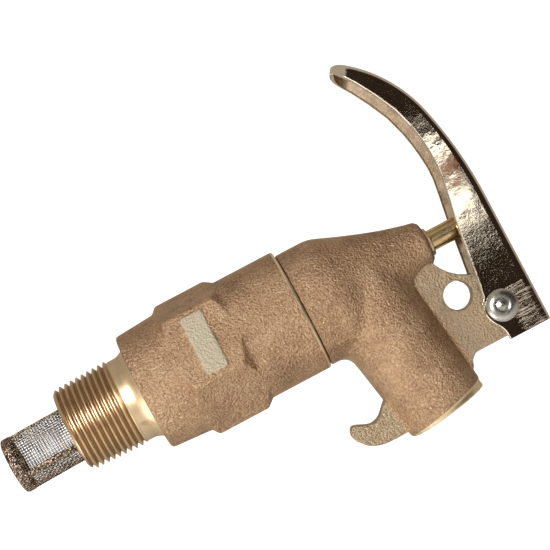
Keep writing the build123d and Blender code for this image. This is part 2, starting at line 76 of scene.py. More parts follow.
# The blank plate is on the flat opposite the one that a wrench mount names
hex_normal = -Vector(mounts["wrench_flat"]["axis"])
HEX_FLAT_R = 18.85 * MM

# The turned band round the spout's rim; its upper edge is tilted and rises across the spout
BAND_RISE = 2.0 * MM
BAND_HEIGHT = 1.6 * MM
SPOUT_R = 13.05 * MM
band_tilt = atan2(BAND_RISE, 2 * SPOUT_R)
spout_tilt = atan2(spout_axis.x, -spout_axis.z)
band_up = Vector((-sin(spout_tilt + band_tilt), 0, cos(spout_tilt + band_tilt)))
spout_across = Vector((-spout_axis.z, 0, spout_axis.x))
band_offset = band_up.dot(rim_centre - spout_axis * BAND_HEIGHT)

# Inlet thread, 3/4-14 NPT
PITCH = 25.4 / 14 * MM
THREAD_COUNT = 10
THREAD_LENGTH = THREAD_COUNT * PITCH
TAPER = 1 / 32
CREST_R = 13.0 * MM
THREAD_DEPTH = 1.3 * MM
INLET_BORE_R = 9.5 * MM
SHANK_R = 12.95 * MM
SHOULDER_R = 14.3 * MM
NECK_X = THREAD_LENGTH + 5.5 * MM


# ------------------------------------------------------------------ mesh helpers
def new_object(name, verts, faces):
    mesh = bpy.data.meshes.new(name)
    mesh.from_pydata([tuple(v) for v in verts], [], faces)
    obj = bpy.data.objects.new(name, mesh)
    bpy.context.scene.collection.objects.link(obj)
    mesh.polygons.foreach_set("use_smooth", [True] * len(mesh.polygons))
    return obj


def finish_piece(obj, body, material, replaces=()):
    """Puts a piece on its body and gives it its finish."""
    obj.data.materials.clear()
    obj.data.materials.append(material)
    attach(obj, body)
    if replaces:
        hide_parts(*replaces)
    return obj


def clean(obj, merge=2e-6):
    """Merges doubled points and makes the faces point outwards."""
    work = bmesh.new()
    work.from_mesh(obj.data)
    bmesh.ops.remove_doubles(work, verts=work.verts, dist=merge)
    bmesh.ops.dissolve_degenerate(work, edges=work.edges, dist=merge / 2)
    bmesh.ops.recalc_face_normals(work, faces=work.faces)
    work.to_mesh(obj.data)
    work.free()
    obj.data.update()


def sharp_edges(obj, angle):
    """Smooth shading that breaks at edges sharper than angle, in degrees."""
    work = bmesh.new()
    work.from_mesh(obj.data)
    for edge in work.edges:
        if len(edge.link_faces) == 2:
            edge.smooth = edge.calc_face_angle(0) < radians(angle)
    for face in work.faces:
        face.smooth = True
    work.to_mesh(obj.data)
    work.free()


def apply_modifiers(obj):
    graph = bpy.context.evaluated_depsgraph_get()
    mesh = bpy.data.meshes.new_from_object(obj.evaluated_get(graph))
    obj.modifiers.clear()
    obj.data = mesh
    return obj


def closed_loops(name, rings, wrap=True):
    """A skin over closed rings of points; wrap also joins the last ring to the first."""
    count, size = len(rings), len(rings[0])
    verts = [p for ring in rings for p in ring]
    faces = []
    for i in range(count if wrap else count - 1):
        for j in range(size):
            a, b = i * size + j, i * size + (j + 1) % size
            c, d = ((i + 1) % count) * size + (j + 1) % size, ((i + 1) % count) * size + j
            faces.append((a, b, c, d))
    return new_object(name, verts, faces)


def smoothstep(low, high, x):
    t = min(1.0, max(0.0, (x - low) / (high - low)))
    return t * t * (3 - 2 * t)


# ------------------------------------------------------------------ node materials
class Nodes:
    """A small helper that builds a material's nodes one after another."""

    def __init__(self, name):
        self.material = bpy.data.materials.new(name)
        self.material.use_nodes = True
        self.tree = self.material.node_tree
        self.shader = self.tree.nodes["Principled BSDF"]
        self.place = self.add("ShaderNodeTexCoord").outputs["Object"]

    def add(self, kind):
        return self.tree.nodes.new(kind)

    def set(self, socket, value):
        if isinstance(value, bpy.types.NodeSocket):
            self.tree.links.new(value, socket)
        else:
            socket.default_value = value

    def noise(self, scale, detail, roughness, place=None):
        node = self.add("ShaderNodeTexNoise")
        self.set(node.inputs["Vector"], place or self.place)
        self.set(node.inputs["Scale"], scale)
        self.set(node.inputs["Detail"], detail)
        self.set(node.inputs["Roughness"], roughness)
        return node.outputs["Fac"]

    def cells(self, scale, feature="F1"):
        node = self.add("ShaderNodeTexVoronoi")
        node.feature = feature
        self.set(node.inputs["Vector"], self.place)
        self.set(node.inputs["Scale"], scale)
        return node

    def stretch(self, scale):
        node = self.add("ShaderNodeMapping")
        self.set(node.inputs["Vector"], self.place)
        node.inputs["Scale"].default_value = scale
        return node.outputs["Vector"]

    def ramp(self, fac, *stops):
        node = self.add("ShaderNodeValToRGB")
        self.set(node.inputs["Fac"], fac)
        ramp = node.color_ramp
        while len(ramp.elements) < len(stops):
            ramp.elements.new(0.5)
        for element, (position, colour) in zip(ramp.elements, stops, strict=True):
            element.position = position
            element.color = (*colour, 1)
        return node.outputs["Color"]

    def math(self, operation, a, b=0.0):
        node = self.add("ShaderNodeMath")
        node.operation = operation
        self.set(node.inputs[0], a)
        self.set(node.inputs[1], b)
        return node.outputs[0]

    def remap(self, value, low, high, to_low=0.0, to_high=1.0):
        node = self.add("ShaderNodeMapRange")
        self.set(node.inputs["Value"], value)
        ends = {"From Min": low, "From Max": high, "To Min": to_low, "To Max": to_high}
        for key, number in ends.items():
            self.set(node.inputs[key], number)
        return node.outputs["Result"]

    def mix(self, fac, a, b):
        node = self.add("ShaderNodeMix")
        node.data_type = "RGBA"
        self.set(node.inputs["Factor"], fac)
        self.set(node.inputs[6], a)
        self.set(node.inputs[7], b)
        return node.outputs[2]

    def pointiness(self):
        """Above 0.5 on outer edges and below it in hollows."""
        return self.add("ShaderNodeNewGeometry").outputs["Pointiness"]

    def split(self):
        node = self.add("ShaderNodeSeparateXYZ")
        self.set(node.inputs[0], self.place)
        return node.outputs

    def bump(self, height, strength, distance, normal=None):
        node = self.add("ShaderNodeBump")
        self.set(node.inputs["Height"], height)
        node.inputs["Strength"].default_value = strength
        node.inputs["Distance"].default_value = distance
        if normal:
            self.set(node.inputs["Normal"], normal)
        return node.outputs["Normal"]

    def surface(self, **inputs):
        for key, value in inputs.items():
            self.set(self.shader.inputs[key.replace("_", " ")], value)
        return self.material


# ------------------------------------------------------------------ materials
BRONZE_DARK = (0.26, 0.152, 0.094)
BRONZE = (0.47, 0.308, 0.192)
BRONZE_LIGHT = (0.68, 0.52, 0.35)
WEB_GREY = (0.43, 0.375, 0.275)
BRASS = (0.80, 0.66, 0.45)


def cast_bronze(name, machined=None, plate=False, web=False):
    """Sand-cast and blasted bronze. machined(n) gives a 0 to 1 mask of turned faces."""
    n = Nodes(name)
    tone = n.noise(90, 4, 0.6)
    patches = n.noise(330, 3, 0.55)
    grain = n.noise(1700, 3, 0.75)
    pits = n.cells(1500, feature="SMOOTH_F1")
    glint = n.cells(3300)
    cast = n.ramp(tone, (0.30, BRONZE_DARK), (0.52, BRONZE), (0.80, BRONZE_LIGHT))
    cast = n.mix(n.remap(patches, 0.35, 0.70, 0.0, 0.55), cast, (*BRONZE, 1))
    cast = n.mix(n.remap(grain, 0.47, 0.60, 0.0, 0.62), cast, (*BRONZE_LIGHT, 1))
    cast = n.mix(n.remap(grain, 0.47, 0.36, 0.0, 0.75), cast, (*BRONZE_DARK, 1))
    if web:
        cast = n.mix(n.math("MULTIPLY", web_mask(n), 0.70), cast, (*WEB_GREY, 1))
    # Painted glints: small spots of the casting painted light, as if they caught the lamp, and made a little
    # smoother.
    painted_glint_spots = n.remap(glint.outputs["Color"], 0.86, 0.97)
    cast = n.mix(n.math("MULTIPLY", painted_glint_spots, 0.75), cast, (0.95, 0.80, 0.58, 1))
    curvature = n.pointiness()
    # Lighter on outer edges, where the casting is worn; darker in hollows, which is painted shade.
    cast = n.mix(n.remap(curvature, 0.53, 0.62, 0.0, 0.40), cast, (0.80, 0.62, 0.40, 1))
    cast = n.mix(n.remap(curvature, 0.48, 0.42, 0.0, 0.60), cast, (0.20, 0.11, 0.06, 1))
    rough = n.remap(grain, 0.3, 0.7, 0.40, 0.58)
    rough = n.math("SUBTRACT", rough, n.math("MULTIPLY", painted_glint_spots, 0.22))
    height = n.math("ADD", grain, n.math("MULTIPLY", pits.outputs["Distance"], 0.7))
    normal = n.bump(height, 1.0, 0.48 * MM)
    normal = n.bump(patches, 0.40, 0.7 * MM, normal)
    if plate:
        mask = plate_mask(n)
        cast = n.mix(n.math("MULTIPLY", mask, 0.75), cast, (0.66, 0.66, 0.54, 1))
        rough = n.mix(mask, rough, (0.66, 0.66, 0.66, 1))
    if machined:
        mask = machined(n)
        lines = turning_lines(n)
        bright = n.mix(n.remap(lines, 0.3, 0.7), (0.82, 0.66, 0.42, 1), (0.96, 0.85, 0.62, 1))
        cast = n.mix(mask, cast, bright)
        rough = n.mix(mask, rough, (0.36, 0.36, 0.36, 1))
        turned_normal = n.bump(lines, 0.25, 0.05 * MM)
        blend = n.add("ShaderNodeMix")
        blend.data_type = "VECTOR"
        n.set(blend.inputs["Factor"], mask)
        n.set(blend.inputs[4], normal)
        n.set(blend.inputs[5], turned_normal)
        normal = blend.outputs[1]
    return n.surface(Base_Color=cast, Metallic=0.92, Roughness=rough, Normal=normal)


def plate_mask(n):
    """1 on the raised blank plate, which stands off the wrench flat."""
    return n.remap(along(n, hex_normal), HEX_FLAT_R + 0.16 * MM, HEX_FLAT_R + 0.34 * MM)


def turning_lines(n):
    """Fine rings left by a lathe, across the valve axis."""
    x = n.stretch((1, 0.02, 0.02))
    return n.noise(5200, 3, 0.7, place=x)


def sleeve_machined(n):
    """The faced end of the adapter's sleeve, where the body turns in it."""
    x = n.split()[0]
    return n.remap(x, adapter_high.x - 0.85 * MM, adapter_high.x - 0.70 * MM)


def along(n, direction):
    """Each point's distance along a fixed direction."""
    out = n.add("ShaderNodeVectorMath")
    out.operation = "DOT_PRODUCT"
    n.set(out.inputs[0], n.place)
    out.inputs[1].default_value = direction
    return out.outputs["Value"]


def off_spout(n):
    """Signed distance of each point from the spout's axis, towards the lever."""
    return n.math("SUBTRACT", along(n, spout_across), spout_across.dot(rim_centre))


def spout_machined(n):
    """The turned band round the rim, below its tilted upper edge and on the spout itself."""
    low = n.remap(along(n, band_up), band_offset + 0.12 * MM, band_offset - 0.05 * MM)
    off = n.math("ABSOLUTE", off_spout(n))
    return n.math("MULTIPLY", low, n.remap(off, 13.9 * MM, 13.5 * MM))


def web_mask(n):
    """1 on the flat web of the lug and on the hook, which are greyer than the rest."""
    _, y, z = n.split()
    off = off_spout(n)
    flat = n.remap(n.math("ABSOLUTE", y), 5.4 * MM, 4.1 * MM)
    lug = n.remap(off, 13.2 * MM, 15.0 * MM)
    hook = n.remap(off, -12.6 * MM, -13.8 * MM)
    low = n.remap(z, -2.0 * MM, -9.0 * MM)
    return n.math("MULTIPLY", n.math("MULTIPLY", flat, n.math("MAXIMUM", lug, hook)), low)


def machined_brass(name, polish, tone=BRASS, thread=False):
    """Turned brass; thread paints shade into the roots of the inlet thread."""
    n = Nodes(name)
    lines = turning_lines(n)
    smear = n.noise(260, 3, 0.6)
    stain = n.noise(700, 4, 0.65)
    dull = [c * 0.82 for c in tone]
    bright = [min(1, c * 1.14) for c in tone]
    colour = n.mix(n.remap(lines, 0.3, 0.7), (*dull, 1), (*bright, 1))
    colour = n.mix(n.remap(smear, 0.50, 0.72, 0.0, 0.45), colour, (0.60, 0.42, 0.24, 1))
    colour = n.mix(n.remap(stain, 0.60, 0.74, 0.0, 0.35), colour, (0.95, 0.88, 0.66, 1))
    tarnish = n.noise(115, 4, 0.55)
    colour = n.mix(n.remap(tarnish, 0.62, 0.67, 0.0, 0.50), colour, (0.42, 0.28, 0.17, 1))
    curvature = n.pointiness()
    # Painted shade: darker in hollows.
    colour = n.mix(n.remap(curvature, 0.50, 0.43, 0.0, 0.6), colour, (0.36, 0.22, 0.13, 1))
    if thread:
        x = n.split()[0]
        radius = n.add("ShaderNodeVectorMath")
        radius.operation = "LENGTH"
        n.set(radius.inputs[0], n.stretch((0, 1, 1)))
        crest = n.math("ADD", n.math("MULTIPLY", x, TAPER), CREST_R)
        depth = n.math("SUBTRACT", crest, radius.outputs["Value"])
        # Painted shade in the roots of the thread. It fades out past the thread's end and inside the bore.
        root_shade = n.remap(depth, 0.25 * THREAD_DEPTH, 0.85 * THREAD_DEPTH, 0.0, 0.66)
        root_shade = n.math("MULTIPLY", root_shade, n.remap(x, THREAD_LENGTH + 0.3 * MM, THREAD_LENGTH - 1.2 * MM))
        outside = n.remap(radius.outputs["Value"], INLET_BORE_R + 0.6 * MM, INLET_BORE_R + 1.2 * MM)
        colour = n.mix(n.math("MULTIPLY", root_shade, outside), colour, (0.33, 0.195, 0.115, 1))
    rough = n.remap(smear, 0.3, 0.7, polish - 0.05, polish + 0.10)
    normal = n.bump(lines, 0.30, 0.06 * MM)
    return n.surface(Base_Color=colour, Metallic=1.0, Roughness=rough, Normal=normal)


def bright_plate(name):
    """Nickel plate over a stamping that was not polished flat."""
    n = Nodes(name)
    x, _, z = n.split()
    wave = n.noise(55, 2, 0.45)
    dents = n.noise(420, 3, 0.55)
    peel = n.noise(1300, 3, 0.7)
    streaks = n.noise(1, 3, 0.6, place=n.stretch((90, 90, 1500)))
    specks = n.cells(1900)
    haze = n.noise(160, 3, 0.6)
    colour = n.mix(n.remap(haze, 0.35, 0.75), (0.78, 0.71, 0.60, 1), (0.93, 0.87, 0.77, 1))
    # The specks are pits. They are painted lighter than the plate as painted glints, and made rougher.
    pit_and_painted_glint = n.remap(specks.outputs["Color"], 0.90, 0.99)
    colour = n.mix(n.math("MULTIPLY", pit_and_painted_glint, 0.35), colour, (0.95, 0.92, 0.84, 1))
    rough = n.remap(haze, 0.3, 0.8, 0.03, 0.10)
    rough = n.math("ADD", rough, n.math("MULTIPLY", pit_and_painted_glint, 0.15))
    # The foot was rubbed across beside the rivet, and the flange above it less so
    below = n.remap(z, pivot.z + 4 * MM, pivot.z + 2 * MM)
    beside = n.remap(x, pivot.x + 1 * MM, pivot.x + 4 * MM)
    foot = n.math("MULTIPLY", below, beside)
    scored = n.math("MULTIPLY", n.remap(streaks, 0.50, 0.62), foot)
    rough = n.math("ADD", rough, n.math("MULTIPLY", scored, 0.34))
    rubbed = n.math("MULTIPLY", peel, n.math("SUBTRACT", n.remap(z, 4 * MM, -4 * MM), foot))
    brushed = n.math("MULTIPLY", streaks, foot)
    normal = n.bump(wave, 0.045, 2.2 * MM)
    normal = n.bump(dents, 0.05, 0.22 * MM, normal)
    normal = n.bump(n.math("ADD", rubbed, n.math("MULTIPLY", brushed, 7.5)), 0.145, 0.12 * MM, normal)
    return n.surface(Base_Color=colour, Metallic=1.0, Roughness=rough, Normal=normal)


def mesh_wire(name):
    """Brass wire, tarnished in patches."""
    n = Nodes(name)
    tone = n.noise(420, 3, 0.6)
    dark, mid, light = (0.08, 0.058, 0.040), (0.22, 0.170, 0.115), (0.52, 0.44, 0.29)
    colour = n.ramp(tone, (0.34, dark), (0.52, mid), (0.74, light))
    return n.surface(Base_Color=colour, Metallic=1.0, Roughness=n.remap(tone, 0.3, 0.7, 0.28, 0.46))


def crimped_cloth(name):
    """Wire cloth folded and pressed on itself: dark, ridged and dented, with painted highlights on its raised
    knuckles and painted shade between them.
    """
    n = Nodes(name)
    weave = n.cells(1650)
    dents = n.noise(620, 3, 0.6)
    light, mid, dark = (0.90, 0.76, 0.60), (0.21, 0.16, 0.13), (0.045, 0.032, 0.026)
    # Painted highlight and shade: the weave's raised knuckles are painted light and the hollows round them dark,
    # following its bumps.
    tint = n.ramp(weave.outputs["Distance"], (0.14, light), (0.42, mid), (0.75, dark))
    tint = n.mix(n.remap(dents, 0.55, 0.70, 0.0, 0.5), tint, (0.36, 0.28, 0.20, 1))
    height = n.math("SUBTRACT", n.math("MULTIPLY", dents, 1.6), weave.outputs["Distance"])
    return n.surface(Base_Color=tint, Metallic=0.85, Roughness=0.42, Normal=n.bump(height, 0.9, 0.3 * MM))


def satin_metal(name, colour, rough):
    """Plain metal with a fine, slightly uneven finish."""
    n = Nodes(name)
    fine = n.noise(2400, 4, 0.6)
    broad = n.noise(300, 3, 0.55)
    low = tuple(0.78 * c for c in colour)
    high = tuple(min(1.0, 1.12 * c) for c in colour)
    tint = n.mix(n.remap(fine, 0.3, 0.7), (*low, 1), (*high, 1))
    curvature = n.pointiness()
    # Painted shade: darker in hollows.
    tint = n.mix(n.remap(curvature, 0.49, 0.42, 0.0, 0.55), tint, (*[0.35 * c for c in colour], 1))
    roughness = n.remap(broad, 0.3, 0.7, rough - 0.06, rough + 0.08)
    normal = n.bump(fine, 0.25, 0.05 * MM)
    return n.surface(Base_Color=tint, Metallic=1.0, Roughness=roughness, Normal=normal)


def soft_seal(name, colour, rough):
    """Moulded rubber or plastic."""
    n = Nodes(name)
    fine = n.noise(1800, 3, 0.6)
    mottled = n.noise(400, 2, 0.5)
    low = tuple(0.85 * c for c in colour)
    tint = n.mix(n.remap(mottled, 0.3, 0.7), (*low, 1), (*colour, 1))
    roughness = n.remap(fine, 0.3, 0.7, rough - 0.08, rough + 0.06)
    return n.surface(Base_Color=tint, Metallic=0.0, Roughness=roughness, Normal=n.bump(fine, 0.2, 0.05 * MM))


bronze_body = cast_bronze("cast_bronze_body", machined=spout_machined, web=True)
bronze_adapter = cast_bronze("cast_bronze_adapter", machined=sleeve_machined, plate=True)
brass_turned = machined_brass("turned_brass", polish=0.36)
brass_thread = machined_brass("threaded_brass", polish=0.36, thread=True)
brass_stem = machined_brass("drawn_brass", polish=0.18, tone=(0.80, 0.62, 0.34))
plated = bright_plate("bright_plate")
plated_inside = satin_metal("plate_inside", (0.58, 0.48, 0.36), 0.36)
wire = mesh_wire("mesh_wire")
crimped = crimped_cloth("crimped_cloth")
spring_wire = satin_metal("spring_wire", (0.55, 0.55, 0.56), 0.30)
rivet_metal = satin_metal("rivet_aluminium", (0.60, 0.60, 0.59), 0.27)
ptfe = soft_seal("ptfe", (0.88, 0.87, 0.84), 0.55)
rubber = soft_seal("seal_rubber", (0.03, 0.03, 0.03), 0.62)

NODE_MATERIALS = {
    "screen_collar": brass_turned,
    "screen_circlip": spring_wire,
    "swivel_gasket": ptfe,
    "swivel_ring": spring_wire,
    "swivel_seal": rubber,
    "spring_spider": brass_turned,
    "spider_circlip": spring_wire,
    "valve_stem": brass_stem,
    "disc_nut": brass_turned,
    "lock_washer": spring_wire,
    "disc_holder": brass_turned,
    "seat_disc": ptfe,
    "disc_washer": brass_turned,
    "packing_washer": brass_turned,
    "packing_rings": ptfe,
    "packing_follower": brass_turned,
    "gland_seal": rubber,
    "gland_nut": brass_turned,
    "pivot_rivet": rivet_metal,
    "pivot_spacers": brass_turned,
}
for node, material in NODE_MATERIALS.items():
    slots = frame["nodes"][node].material_slots
    for slot in slots:
        slot.material = material


# ------------------------------------------------------------------ inlet thread and shank
def thread_radius(x, angle):
    """Radius of the right-hand tapered thread at x and angle, with lead-in and run-out."""
    phase = (x / PITCH - angle / (2 * pi)) % 1.0
    crest_half, root_half = 0.055, 0.06
    from_crest = abs(phase - 0.5)
    rise = (0.5 - root_half - from_crest) / (0.5 - root_half - crest_half)
    depth = THREAD_DEPTH * (1 - min(1.0, max(0.0, rise)))
    full = CREST_R + x * TAPER - depth
    lead_in = CREST_R - 1.15 * MM + 0.95 * x
    run_out = smoothstep(THREAD_LENGTH - 1.1 * MM, THREAD_LENGTH + 0.5 * MM, x)
    return min(lead_in, full) * (1 - run_out) + SHANK_R * run_out


def make_nose():
    """Thread, shank and flared shoulder as one turned and threaded sleeve."""
    around = 288
    phases = (0.0, 0.055, 0.16, 0.27, 0.38, 0.445, 0.5, 0.555, 0.62, 0.73, 0.84, 0.945)
    end = THREAD_LENGTH + 0.6 * MM
    tail = [
        (end + 0.4 * MM, SHANK_R),
        (NECK_X - 3.1 * MM, SHANK_R),
        (NECK_X - 2.3 * MM, SHANK_R + 0.12 * MM),
        (NECK_X - 1.5 * MM, SHANK_R + 0.42 * MM),
        (NECK_X - 0.7 * MM, SHANK_R + 0.85 * MM),
        (NECK_X - 0.05 * MM, SHOULDER_R - 0.1 * MM),
        (NECK_X + 0.3 * MM, SHOULDER_R),
        (NECK_X + 0.3 * MM, INLET_BORE_R),
        (0.5 * MM, INLET_BORE_R),
        (0.0, INLET_BORE_R + 0.5 * MM),
    ]
    # The last ring falls on the first one turn further on, and clean() joins them
    rings = []
    for j in range(around + 1):
        angle = 2 * pi * j / around
        ring = []
        for turn in range(-1, THREAD_COUNT + 1):
            for phase in phases:
                x = (turn + phase + angle / (2 * pi)) * PITCH
                x = min(end, max(0.0, x))
                ring.append((x, thread_radius(x, angle)))
        ring += tail
        rings.append([Vector((x, r * sin(angle), r * cos(angle))) for x, r in ring])
    nose = closed_loops("adapter_nose", rings, wrap=False)
    clean(nose)
    sharp_edges(nose, 40)
    return nose


# ------------------------------------------------------------------ castings
ADAPTER_VOXEL = 0.36 * MM
BODY_VOXEL = 0.38 * MM
TURNED_END_R = 20 * MM


def cut_copy(node, name, plane_x, keep_above):
    """A copy of a CAD node's mesh, cut flat at x round the valve axis and closed."""
    source = frame["nodes"][node]
    obj = bpy.data.objects.new(name, source.data.copy())
    bpy.context.scene.collection.objects.link(obj)
    work = bmesh.new()
    work.from_mesh(obj.data)
    bmesh.ops.remove_doubles(work, verts=work.verts, dist=1e-6)
    bmesh.ops.bisect_plane(
        work,
        geom=work.verts[:] + work.edges[:] + work.faces[:],
        plane_co=(plane_x, 0, 0),
        plane_no=(1, 0, 0),
        dist=1e-7,
    )
    dropped = []
    for face in work.faces:
        x, y, z = face.calc_center_median()
        near_end = x < plane_x and hypot(y, z) < TURNED_END_R
        if near_end == keep_above:
            dropped.append(face)
    bmesh.ops.delete(work, geom=dropped, context="FACES")
    rim = [e for e in work.edges if e.is_boundary]
    bmesh.ops.triangle_fill(work, edges=rim, use_beauty=True)
    bmesh.ops.recalc_face_normals(work, faces=work.faces)
    work.to_mesh(obj.data)
    work.free()
    return obj


def recast(obj, voxel, passes, keep):
    """Rebuilds a solid on an even grid and relaxes it, so its edges round as a casting's.

    keep(points) gives, for each point, 0 where it may move and 1 where it may not.
    """
    modifier = obj.modifiers.new("grid", "REMESH")
    modifier.mode = "VOXEL"
    modifier.voxel_size = voxel
    modifier.use_smooth_shade = True
    apply_modifiers(obj)
    mesh = obj.data
    count = len(mesh.vertices)
    points = np.empty(count * 3)
    mesh.vertices.foreach_get("co", points)
    points = points.reshape(-1, 3)
    edges = np.empty(len(mesh.edges) * 2, dtype=np.int64)
    mesh.edges.foreach_get("vertices", edges)
    edges = edges.reshape(-1, 2)
    degree = np.bincount(edges.ravel(), minlength=count)[:, None]
    free = 1 - np.clip(keep(points), 0, 1)[:, None]
    for step in range(2 * passes):
        total = np.zeros_like(points)
        np.add.at(total, edges[:, 0], points[edges[:, 1]])
        np.add.at(total, edges[:, 1], points[edges[:, 0]])
        pull = 0.55 if step % 2 == 0 else -0.30
        points += pull * free * (total / degree - points)
    mesh.vertices.foreach_set("co", points.ravel())
    mesh.update()
    return obj


def ramp_up(value, low, high):
    """0 at low to 1 at high, and straight between them; low may be the larger."""
    return np.clip((value - low) / (high - low), 0, 1)


def keep_adapter(points):
    """The ends of the neck and sleeve and the bore stay as machined, and the plate nearly so."""
    x = points[:, 0]
    radius = np.hypot(points[:, 1], points[:, 2])
    bore = ramp_up(radius, 16.6 * MM, 16.1 * MM)
    end = ramp_up(x, adapter_high.x - 1.2 * MM, adapter_high.x - 0.6 * MM)
    start = ramp_up(x, NECK_X + 0.9 * MM, NECK_X + 0.4 * MM)
    plate = ramp_up(points @ np.array(hex_normal), HEX_FLAT_R + 0.05 * MM, HEX_FLAT_R + 0.3 * MM)
    return np.maximum.reduce([bore, end, start, 0.8 * plate])


def keep_body(points):
    """The rim of the spout, the boss's end face and the barrel's shoulder stay crisp."""
    rim = (points - np.array(rim_centre)) @ np.array(-spout_axis)
    rim_part = ramp_up(rim, 3.6 * MM, 2.6 * MM)
    shoulder = ramp_up(points[:, 0], body_x + 0.8 * MM, body_x + 0.3 * MM)
    boss_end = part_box("gland_nut")[1].x - 1.0 * MM
    near_axis = ramp_up(np.hypot(points[:, 1], points[:, 2]), 8.6 * MM, 8.2 * MM)
    boss = near_axis * ramp_up(points[:, 0], boss_end - 2.6 * MM, boss_end - 1.6 * MM)
    return np.maximum.reduce([rim_part, shoulder, boss])


def make_castings():
    """The adapter behind its turned nose, and the body with its turned spigot apart."""
    adapter = cut_copy("inlet_adapter", "adapter_casting", NECK_X + 0.05 * MM, keep_above=True)
    recast(adapter, ADAPTER_VOXEL, passes=2, keep=keep_adapter)
    spigot_end = body_x - 0.4 * MM
    body = cut_copy("faucet_body", "body_casting", spigot_end, keep_above=True)
    recast(body, BODY_VOXEL, passes=4, keep=keep_body)
    spigot = cut_copy("faucet_body", "body_spigot", spigot_end, keep_above=False)
    clean(spigot)
    sharp_edges(spigot, 30)
    return adapter, body, spigot


# ------------------------------------------------------------------ lever
LEVER_HALF = 9.0 * MM
SHEET = 1.3 * MM
CORNER_R = 2.0 * MM
lever_back_x = lever_high.x
lever_foot_z = lever_low.z
BEND_Z = pivot.z + 30.4 * MM
BENDS = ((120 * MM, radians(14.5)), (42 * MM, radians(42.8)))
# The stamping is sprung a little: towards the tip one flange stands deeper than the other
LEVER_SKEW = 0.6 * MM
CROWN = 0.22 * MM
TIP_LENGTH = 6.0 * MM
NOSE_LENGTH = 2.6 * MM
# Free edge of the flange, from the foot up to the tip, relative to the pivot
FREE_EDGE = [
    (-2.4, -9.9), (-2.5, -8.2), (-2.7, -6.8), (-3.3, -5.4), (-4.2, -4.2), (-5.1, -2.5),
    (-5.55, -0.8), (-5.55, 0.9), (-5.1, 2.7), (-4.0, 4.6), (-3.2, 8.4), (-2.3, 15.0),
    (-1.4, 22.0), (-0.3, 30.0), (1.0, 37.3), (1.7, 41.5), (1.9, 45.0), (1.7, 49.0),
    (1.2, 53.5), (0.3, 58.1), (-1.6, 64.4), (-4.6, 70.6), (-7.8, 76.3), (-12.3, 82.8),
]


def lever_line(count):
    """Points up the lever's back with their outward normals: (place, normal, distance).

    They stand closer together towards the tip, where the outline is round.
    """
    straight = BEND_Z - lever_foot_z
    total = straight + sum(r * a for r, a in BENDS)
    out = []
    for i in range(count + 1):
        t = i / count
        s = total * (1 - (1 - t) ** 1.25)
        if s <= straight:
            out.append((Vector((lever_back_x, 0, lever_foot_z + s)), Vector((1, 0, 0)), s))
            continue
        left, place, angle = s - straight, Vector((lever_back_x, 0, BEND_Z)), 0.0
        for radius, arc in BENDS:
            part = min(left / radius, arc)
            centre = place - Vector((cos(angle), 0, sin(angle))) * radius
            angle += part
            place = centre + Vector((cos(angle), 0, sin(angle))) * radius
            left -= part * radius
        out.append((place, Vector((cos(angle), 0, sin(angle))), s))
    return out, total


def free_edge_depth(place, normal):
    """Depth of the flange behind the lever's back at place, along -normal."""
    points = [Vector((pivot.x + x * MM, 0, pivot.z + z * MM)) for x, z in FREE_EDGE]
    along = Vector((-normal.z, 0, normal.x))
    found = []
    for a, b in zip(points, points[1:]):
        ha, hb = (a - place).dot(along), (b - place).dot(along)
        if ha <= 0 <= hb and hb - ha > 1e-9:
            t = -ha / (hb - ha)
            found.append(-(a.lerp(b, t) - place).dot(normal))
    if found:
        return min(found)
    nearest = points[-1] if (points[-1] - place).dot(along) < 0 else points[0]
    return -(nearest - place).dot(normal)


def lever_half_section(half, depth, corner, bead):
    """Outer side, from the free edge round the corner to the middle: (across, deep) pairs."""
    out = [(half - bead, depth), (half - 0.3 * bead, depth - 0.3 * bead), (half, depth - bead)]
    for t in (0.96, 0.72, 0.45, 0.2, 0.04):
        out.append((half, corner + (depth - bead - corner) * t))
    for i in range(7):
        a = pi / 2 * i / 6
        out.append((half - corner + corner * cos(a), corner - corner * sin(a)))
    for t in (0.96, 0.6, 0.25):
        out.append(((half - corner) * t, 0))
    return out


def lever_skin(line, total, inset):
    """Rings of (across, deep) turned into places; inset is 0 outside and the sheet inside."""
    rings = []
    for place, normal, s in line:
        half = LEVER_HALF
        over = (s - (total - TIP_LENGTH)) / TIP_LENGTH
        if over > 0:
            half *= max(0.0, 1 - over**2.6) ** 0.45
        depth = max(free_edge_depth(place, normal), SHEET + 0.25 * MM)
        nose = (s - (total - NOSE_LENGTH)) / NOSE_LENGTH
        fall = 0.0
        if nose > 0:
            swell = sqrt(max(0.0, 1 - nose**2))
            fall = 0.55 * (depth - SHEET) * (1 - swell)
            depth = SHEET + 0.1 * MM + (depth - SHEET - 0.1 * MM) * swell
        skew = LEVER_SKEW * smoothstep(0.35, 0.75, s / total)
        half_in = max(half - inset, 0.0)
        corner = min(CORNER_R - 0.6 * inset, half_in * 0.75 + 1e-6)
        corner = min(corner, (depth - inset) * 0.6)
        bead = min(0.32 * MM, half_in * 0.3)
        section = lever_half_section(half_in, depth - inset, corner, bead)
        near = [(-y, d * (1 - skew / depth)) for y, d in section]
        far = [(y, d * (1 + skew / depth)) for y, d in reversed(section)]
        full = near + [(0, 0)] + far
        # A stamped web is a little crowned, not flat: its sides fall back from its middle
        ring = []
        for y, d in full:
            crown = CROWN * (y / LEVER_HALF) ** 2 if d < CORNER_R else CROWN
            deep = d + inset + crown * (1 - d / depth) + fall
            ring.append(place - normal * deep + Vector((0, y, 0)))
        rings.append(ring)
    return rings


